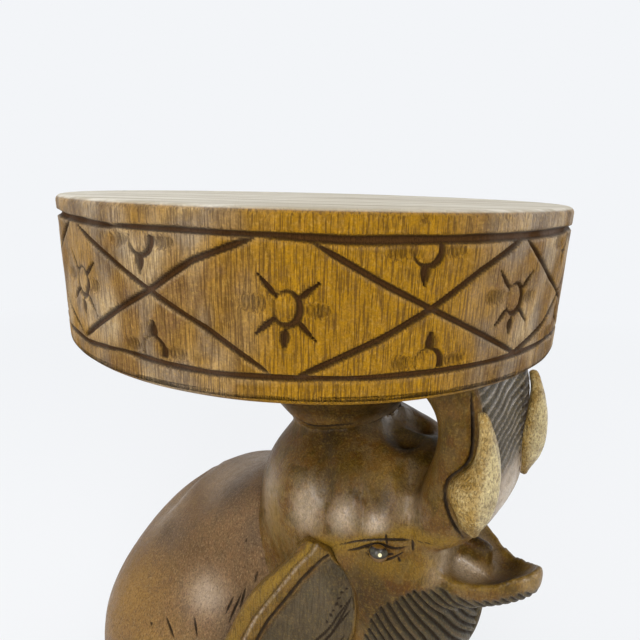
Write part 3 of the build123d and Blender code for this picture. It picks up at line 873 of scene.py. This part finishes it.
# Wrinkles and drying cracks behind the ear and on the flank.
WRINKLES = [
    [(-97.5, 37.9, 192.8), (-98.5, 32.2, 189.6), (-99.7, 26.1, 185.4)],
    [(-87.5, 21.1, 196.8), (-89.1, 17, 193.1), (-91, 13.6, 189.1)],
    [(-54.8, -5.3, 228.4), (-58.5, -7, 221)], [(-49.9, 9.4, 242.4), (-54.8, 8, 235.3)],
    [(-65, -1, 214.5), (-72.9, -0.4, 203.8), (-77.5, -0.8, 197.4)], [(-62.5, -2, 217), (-70, -3.8, 206)],
    [(-104.1, 46.7, 188.5), (-105.2, 42.4, 185)], [(-69, 3, 212), (-76, 3.4, 202)],
    [(-110, 30, 160), (-110, 26, 149)], [(-113, 46, 150), (-112, 42, 141)],
    [(-106, 12, 158), (-105, 8, 148)],
]
WRINKLED, WRINKLED_REACH = (-84, 18, 202), 36
BODY_VALLEYS = [
    ([(-30, 62, 250), (-60, 66, 236), (-88, 72, 214)], 14, 1.6),
    ([(-64, 104, 216), (-38, 107, 227), (-18, 108, 232), (4, 109, 234)], 12, 6),
]
# Golden spots on the flank and the rump are golden stain that also paints the light falling on that side; the
# pale spots are painted highlights behind the ear and on the back.
BODY_SPOTS = {
    "gold": [
        ((-102, 72, 188), (26, 34, 40), 0.9), ((-108, 40, 176), (30, 30, 22), 0.8),
        ((-60, 130, 140), (50, 30, 40), 0.5),
    ],
    "bloom": [
        ((-78, 21, 208), (15, 13, 11), 0.85), ((-52, 100, 222), (30, 26, 18), 0.5),
        ((-15, 70, 246), (34, 26, 12), 0.6),
    ],
    "ash": [
        ((-68, 74, 221), (15, 15, 12), 0.55), ((-30, 46, 252), (20, 20, 10), 0.65),
        ((-46, 8, 243), (13, 12, 13), 0.5), ((-70, -8, 200), (14, 12, 16), 0.4),
    ],
    "dark": [
        ((-66, 38, 224), (22, 24, 14), 0.4), ((-70, 80, 218), (9, 10, 9), 0.4),
        ((-34, 42, 252), (12, 14, 7), 0.4), ((-60, 10, 70), (60, 60, 26), 0.35),
        ((-10, 135, 75), (14, 18, 26), 0.5),
    ],
}
# Each foot of the right side: its middle, half width and half depth.
FEET = [(-54, -64, 34, 37), (-72, 78, 38, 42)]


def carve_toes(side, x, y, half_width, half_depth):
    """Five nails round the front of a foot, each a low arch with a cut above it."""
    for degrees in range(-76, 69, 36):
        a = math.radians(degrees)
        centre = (x + half_width * 1.04 * math.sin(a), y - half_depth * 1.04 * math.cos(a), 6.0)
        side.swells([(centre, (7.5, 7.5, 9.0), 1.8)])
        side.spots({"bloom": [(centre, (6.5, 6.5, 8.0), 0.9)]})
        arch = [(x + half_width * math.sin(a + step * 0.045), y - half_depth * math.cos(a + step * 0.045),
                 15.5 - 0.42 * step * step) for step in range(-4, 5)]
        side.stroke(arch, 0.9, 1, 0.9)


def carve_tail(side):
    """Short cuts down the tail, and a tuft of longer ones round its end."""
    for angle in range(0, 181, 20):
        a = math.radians(angle)
        side.stroke([(-9.5 * math.sin(a) * 0.7, 143 + 7 * math.cos(a), 96),
                     (-10.5 * math.sin(a), 142 + 9 * math.cos(a), 80)], 1.0, 1.0, 0.8)
    for height in range(112, 176, 8):
        side.stroke([(-7, 147, height), (0, 157, height + 1.5)], 0.8, 0.6, 0.5)


class STOOL_OT_body(bpy.types.Operator):
    """Carve the body with its legs and tail"""
    bl_idname = "stool.body"
    bl_label = "Body"

    def execute(self, context):
        settings = context.scene.stool_elephant
        piece = blank("carved_body", ("body",), settings.body_cell / MM, 5)
        refined(piece, WRINKLED, WRINKLED_REACH)
        carving, side = both_sides(piece)
        x, y, z = side.points.T
        side.fold("head", (y < 50) & (y > -76) & (z > 175) & (z < 268) & (x > -90))
        side.height += 0.5 * ripple(side.points, 30, 4) * ease(4, 14, z)
        side.swells([((-62, 48, 232), (30, 30, 26), 2.2)])
        side.valleys(BODY_VALLEYS)
        for path in WRINKLES:
            side.stroke(path, 1, 0.9, 0.9, taper=0.4)
        for foot in FEET:
            carve_toes(side, *foot)
        carve_tail(side)
        side.spots(BODY_SPOTS)
        merged(carving, side)
        colours = elephant_colours(settings, base=settings.body, second="#6B5034", gold="#94703A",
                                   dark="#3E2C18", bloom="#AC9476", ash="#574A3E", murk="#665037",
                                   fleck="#A58B64")
        material = stained_wood("brown_stained_waxed_body_wood", colours, patch_size=45.0, coat=0.04,
                                specular=0.2)
        settle(thinned(carved(piece, carving)), material, "body_wood", "body")
        return {"FINISHED"}


# Ear, on its own plane from the root: backwards and down. Each list is down, then backwards.
EAR_ROOT = np.array((-60.0, -66.0, 279.0))
EAR_NORMAL = np.array((-0.912, -0.385, 0.142))
EAR_BACKWARDS = np.array((-0.38, 0.923, 0.059))
EAR_DOWNWARDS = np.cross(EAR_NORMAL, EAR_BACKWARDS)
EAR_EDGE = [(0.5, 13.8, 24.4, 37.7, 48.7, 59, 72, 81, 93, 105, 112, 118),
            (14, 23.4, 32.9, 40.8, 45.9, 50, 54, 57, 59.5, 61, 58.5, 54)]
EAR_RIDGE = [(-3, 1.7, 13.3, 26.6, 44.3, 54.3, 66.6, 80, 95, 106, 112, 118),
             (7, 8.8, 16.4, 23.2, 32.4, 37.5, 41.8, 46, 48.5, 48, 44, 34)]
EAR_GROOVE = [(-3, 2.9, 11.9, 20.9, 34.3, 44.9, 55.5, 67, 80, 95, 104, 112),
              (-4, 1.8, 8.2, 13.5, 19.9, 25.3, 30.8, 35.1, 39, 41, 40, 33)]
EAR_FRONT = [(-2, 7, 17, 32, 50, 68, 86, 102, 115), (4, -5, -13, -18, -18, -13, -6, 3, 13)]
EAR_VEINS = [
    [(-14.9, 26.1), (-7.3, 39.7), (3.3, 56.3), (10, 70)],
    [(-15.1, 25.8), (-9.4, 42), (-1.2, 54.6), (4, 66)], [(-15.6, 33.5), (-8.1, 45.6), (-0.6, 54.8)],
    [(-14, 50), (-6, 66), (4, 82)], [(12, 72), (20, 88), (26, 100)],
]
EAR_DOTS = [(-11.3, 22.6), (-8, 27.7), (-7.2, 30.5), (-1.9, 42.3), (-9.7, 32), (-5.5, 34), (-3.8, 37.5),
            (-9, 24.5)]


def on_ear(points):
    """How far points lie backwards, down and out from the root of the ear."""
    offset = points - EAR_ROOT
    return offset @ EAR_BACKWARDS, offset @ EAR_DOWNWARDS, offset @ EAR_NORMAL


def carve_ear(carving, side):
    """A rolled golden rim, a sharp ridge and a dark groove along it, and a sunk veined hollow inside."""
    back, down, out = on_ear(side.points)
    outside = ease(0.25, 0.6, side.normals @ EAR_NORMAL)
    edge, ridge, groove = (np.interp(down, *line) for line in (EAR_EDGE, EAR_RIDGE, EAR_GROOVE))
    across = np.clip((back - ridge) / np.maximum(edge - ridge, 1), 0, 1)
    roll = np.sin(np.pi * across) ** 0.7 * (back > ridge)
    shelf = np.clip((back - groove) / np.maximum(ridge - groove, 1), 0, 1)
    inner = (back < groove) * ease(0, 5, groove - back)
    on_shelf = (back > groove) & (back < ridge)
    side.height += outside * (1.5 * roll + np.where(on_shelf, 1.3 * shelf - 0.5, 0) - 2.4 * inner)
    side.height += outside * inner * (0.5 + 0.5 * ripple(side.points, 18, 2))
    line = gouge(np.abs(back - groove), 1.3) * outside
    crest = hollow(np.abs(back - ridge), 1.6) * outside
    side.height -= 1.4 * line
    chipped = np.clip(0.55 + 0.7 * ripple(side.points, 1.7, 9), 0, 1)
    side.stain(cut=0.95 * line * (0.75 + 0.25 * ripple(side.points, 6, 7)), bloom=0.85 * crest * chipped,
               gold=outside * roll * np.interp(down, [0, 40, 110], [1.0, 0.85, 0.6]) + 0.5 * (1 - outside),
               ash=0.75 * outside * inner, dark=0.3 * outside * inner * ease(30, 60, down))
    side.stain(cut=0.3 * gouge(np.abs(back - ridge - 1.9), 0.7) * outside, gold=0.35 * outside * on_shelf)
    cuts = [(vein, 0.8, 0.8, 0.85) for vein in EAR_VEINS]
    cuts += [([(u, v - 0.6), (u + 0.4, v + 0.6)], 1.0, 0.7, 0.9) for u, v in EAR_DOTS]
    outer = EAR_ROOT + 3 * EAR_NORMAL
    for path, *cut in cuts:
        side.stroke([outer + u * EAR_BACKWARDS + v * EAR_DOWNWARDS for u, v in path], *cut)

    # The front of the ear is let in below the cheek.
    into = back - np.interp(down, *EAR_FRONT)
    share = (out - out.min()) / (out.max() - out.min())
    sunk = 6.5 * ease(15, 2, into) * ease(2, 14, down) * ease(0.35, 0.9, share)
    facing = -np.sign(carving.points[0, 0])
    carving.points -= sunk[:, None] * EAR_NORMAL * (facing, 1, 1)


def carve_tusk(carving, side):
    """Streaks along the tusk, a shallow crease, a painted highlight along its front edge, dark stain at the
    root, and painted shade on the side beside the trunk.
    """
    _, y, z = side.points.T
    side.height += 0.35 * ripple(side.points * (1, 1, 0.15), 3, 3)
    side.valleys([([(-45, -134, 330), (-43, -137, 345), (-40, -137, 360)], 1.6, 0.8)])
    # The pale front edge is a painted highlight.
    side.stain(bloom=0.9 * ease(-132, -137, y), dark=0.5 * ease(322, 313, z),
               gold=0.7 * ease(-128, -121, y) + 0.3 * ripple(side.points, 9, 5))
    side.streak("dark", [(-45, -132, 322), (-44, -134, 340), (-41, -134, 362)], 1.5, 0.6)
    across = carving.points[:, 0]
    # Painted shade on the side of the tusk that faces the trunk.
    shade_beside_trunk = ease(117, 112, 0.64 * across - 0.77 * y) * (across > 0)
    carving.stain(cut=0.9 * shade_beside_trunk * ease(325, 345, z))


def carve_pair(kind, cell, carve, material):
    """Carves the right and the left piece of a kind alike."""
    for node in (kind + "_right", kind + "_left"):
        piece = blank("carved_" + node, (node,), cell, 2)
        carving, side = both_sides(piece)
        carve(carving, side)
        merged(carving, side)
        settle(carved(piece, carving), material, kind + "_wood", node)


class STOOL_OT_ears(bpy.types.Operator):
    """Carve both ears"""
    bl_idname = "stool.ears"
    bl_label = "Ears"

    def execute(self, context):
        colours = elephant_colours(context.scene.stool_elephant, gold="#8A6A20", ash="#4E4A3C")
        material = stained_wood("brown_stained_ear_wood", colours, flecks=0.15)
        carve_pair("ear", EAR_CELL, carve_ear, material)
        return {"FINISHED"}


class STOOL_OT_tusks(bpy.types.Operator):
    """Carve both tusks"""
    bl_idname = "stool.tusks"
    bl_label = "Tusks"

    def execute(self, context):
        settings = context.scene.stool_elephant
        colours = elephant_colours(settings, base=settings.tusk, second="#B8964F", gold="#A07C36",
                                   dark="#5A4016", bloom="#DCCB94", cut="#4A3412", ash="#8A7A52",
                                   murk="#A8843C", fleck="#E6D8A4")
        material = stained_wood("pale_rubbed_tusk_wood", colours, grain_period=1.3, grain_depth=0.3,
                                grain_dark=0.5, patch_size=12.0, mottle=1.1, stretch=0.45)
        carve_pair("tusk", TUSK_CELL, carve_tusk, material)
        return {"FINISHED"}


# The left eye, in metres: the middle, half length and half height of its almond, and its pale dot.
ALMOND = (0.05, 0.0908, 0.28875)
ALMOND_HALF = (0.0062, 0.0021)
PUPIL = (0.0521, 0.0923, 0.2886)


def eye_finish(lid):
    """Black lacquer in a carved almond between stained lids, with a dot of cream paint for the pupil."""
    material, tree, shader, space = new_material("black_lacquered_eye")
    place = add(tree, "TexCoord", {}, "Object")
    one_side = add(tree, "VectorMath", [place], operation="ABSOLUTE")
    gap = add(tree, "VectorMath", [one_side, PUPIL], "Value", operation="DISTANCE")
    off = add(tree, "VectorMath", [one_side, ALMOND], operation="SUBTRACT")
    off = add(tree, "VectorMath", [off, (0, *(1 / half for half in ALMOND_HALF))], operation="MULTIPLY")
    almond = add(tree, "VectorMath", [off], "Value", operation="LENGTH")
    painted = layered(tree, linear("#26221A"), [
        (blotches(tree, space, 1.5, 3.0, 0.6, 0.4, 0.6), "#484434"),
        (add(tree, "MapRange", [gap, 0.8 * MM, 1.1 * MM, 1.0, 0.0]), "#E9DFB4"),
        (add(tree, "MapRange", [almond, 0.72, 0.85]), "#1E150B"),
        (add(tree, "MapRange", [almond, 1.0, 1.12]), lid),
    ])
    plug(shader, {"Base Color": painted, "Specular IOR Level": 0.3, "Roughness": 0.3})
    return material


class STOOL_OT_plain_pieces(bpy.types.Operator):
    """Give the dowels and the eyes their finish"""
    bl_idname = "stool.plain_pieces"
    bl_label = "Dowels and eyes"

    def execute(self, context):
        settings = context.scene.stool_elephant
        colours = elephant_colours(settings, base="#A98A5C", second="#967748", gold="#B08A4A")
        dowel = stained_wood("plain_turned_dowel_wood", colours)
        eye = eye_finish("#5E4214")
        for node in ("seat_dowel", "trunk_dowel", "neck_dowels", "eye_right", "eye_left"):
            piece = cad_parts[node]
            piece.data.materials.clear()
            piece.data.materials.append(eye if node.startswith("eye") else dowel)
        return {"FINISHED"}


# ---- stage --------------------------------------------------------------------------------
CAMERA_PLACE = (-227.4, -196.1, 467.3)
CAMERA_HEADING = (0.766, 0.643)            # along the floor
CAMERA_PITCH, CAMERA_ROLL = 15.74, 1.49    # degrees, downwards and to the side
CAMERA_LENS = 27.06
FLOOR_RADIUS = 6.0                         # metres
# Round lamps: name, place, height of the point that each faces, width in metres and power in watts.
LAMPS = [
    ("key_softbox", (-0.9, -1.3, 1.5), 0.3, 0.9, 16), ("left_softbox", (-1.6, -0.2, 0.75), 0.25, 0.8, 13),
    ("back_softbox", (-0.8, 1.0, 1.5), 0.3, 0.9, 11), ("right_softbox", (1.3, -1.0, 0.8), 0.25, 1.0, 9),
]
BACKDROP = "#F3F5F8"


def held(name, data):
    """An object for a lamp or the camera."""
    holder = bpy.data.objects.new(name, data)
    bpy.context.scene.collection.objects.link(holder)
    return holder


def add_lamps():
    """Round softboxes, each turned to a point over the middle of the floor."""
    for name, place, target, size, power in LAMPS:
        lamp = bpy.data.lights.new(name, "AREA")
        lamp.shape = "DISK"
        lamp.size = size
        lamp.energy = power
        holder = held(name, lamp)
        holder.location = place
        holder.rotation_euler = (Vector((0, 0, target)) - Vector(place)).to_track_quat("-Z", "Y").to_euler()


def add_floor():
    """White paper that catches the stool's shadow and turns into the backdrop away from it."""
    bm = bmesh.new()
    bmesh.ops.create_circle(bm, cap_ends=True, segments=96, radius=FLOOR_RADIUS)
    floor = new_object("studio_floor", bm)
    material, tree, _, space = new_material("white_studio_paper")
    away = add(tree, "VectorMath", [space], "Value", operation="LENGTH")
    lit = add(tree, "MapRange", [away, 300.0, 1800.0, 0.8])
    seen = add(tree, "LightPath", {}, "Is Camera Ray")
    share = add(tree, "Math", [seen, lit], operation="MULTIPLY")
    matt = add(tree, "BsdfDiffuse", {"Color": linear("#F4F4F4")})
    glow = add(tree, "Emission", {"Color": linear(BACKDROP), "Strength": 1.0})
    both = add(tree, "MixShader", [share, matt, glow])
    plug(tree.nodes["Material Output"], {"Surface": both})
    floor.data.materials.append(material)


def add_world():
    """Soft light from all round, and the plain backdrop where it is seen or mirrored."""
    world = bpy.data.worlds.new("studio")
    bpy.context.scene.world = world
    world.use_nodes = True
    tree = world.node_tree
    tree.nodes.clear()
    rays = [add(tree, "LightPath", {}, "Is %s Ray" % kind) for kind in ("Camera", "Glossy", "Transmission")]
    seen = add(tree, "Math", rays[:2], operation="MAXIMUM")
    seen = add(tree, "Math", [seen, rays[2]], operation="MAXIMUM")
    light = add(tree, "Background", {"Color": linear("#FFFFFF"), "Strength": 0.46})
    backdrop = add(tree, "Background", {"Color": linear(BACKDROP), "Strength": 1.0})
    add(tree, "OutputWorld", {"Surface": add(tree, "MixShader", [seen, light, backdrop])})


def add_camera():
    """A camera near the seat's height, looking down at the head."""
    camera = bpy.data.cameras.new("camera")
    camera.lens = CAMERA_LENS
    camera.sensor_width = 36.0
    camera.clip_start = 0.01
    holder = held("camera", camera)
    pitch = math.radians(CAMERA_PITCH)
    gaze = Vector((*CAMERA_HEADING, 0)).normalized() * math.cos(pitch) - Vector((0, 0, math.sin(pitch)))
    place = Matrix.Translation([c * MM for c in CAMERA_PLACE])
    roll = Matrix.Rotation(math.radians(CAMERA_ROLL), 4, "Z")
    holder.matrix_world = place @ gaze.to_track_quat("-Z", "Y").to_matrix().to_4x4() @ roll
    bpy.context.scene.camera = holder


class STOOL_OT_stage(bpy.types.Operator):
    """Set the floor, the lamps and the camera"""
    bl_idname = "stool.stage"
    bl_label = "Stage"

    def execute(self, context):
        add_floor()
        add_world()
        add_lamps()
        add_camera()
        context.scene.view_settings.view_transform = "Standard"
        return {"FINISHED"}


class STOOL_PT_panel(bpy.types.Panel):
    """Lists the pieces of the stool"""
    bl_idname = "STOOL_PT_panel"
    bl_label = "Carved Elephant Stool"
    bl_space_type = "VIEW_3D"
    bl_region_type = "UI"
    bl_category = "Stool"

    def draw(self, context):
        for settings in (context.scene.stool_seat, context.scene.stool_elephant):
            for key in settings.__annotations__:
                self.layout.prop(settings, key)
        for operator in OPERATORS:
            self.layout.operator(operator.bl_idname)


OPERATORS = (STOOL_OT_stage, STOOL_OT_seat, STOOL_OT_head, STOOL_OT_body, STOOL_OT_ears, STOOL_OT_tusks,
             STOOL_OT_plain_pieces)
CLASSES = (StoolSeatSettings, StoolElephantSettings) + OPERATORS + (STOOL_PT_panel,)


def register():
    for cls in CLASSES:
        bpy.utils.register_class(cls)
    bpy.types.Scene.stool_seat = PointerProperty(type=StoolSeatSettings)
    bpy.types.Scene.stool_elephant = PointerProperty(type=StoolElephantSettings)


def unregister():
    del bpy.types.Scene.stool_seat
    del bpy.types.Scene.stool_elephant
    for cls in reversed(CLASSES):
        bpy.utils.unregister_class(cls)


def main():
    register()
    bpy.ops.stool.stage()
    bpy.ops.stool.seat()
    bpy.ops.stool.head()
    bpy.ops.stool.body()
    bpy.ops.stool.ears()
    bpy.ops.stool.tusks()
    bpy.ops.stool.plain_pieces()


if __name__ == "__main__":
    main()
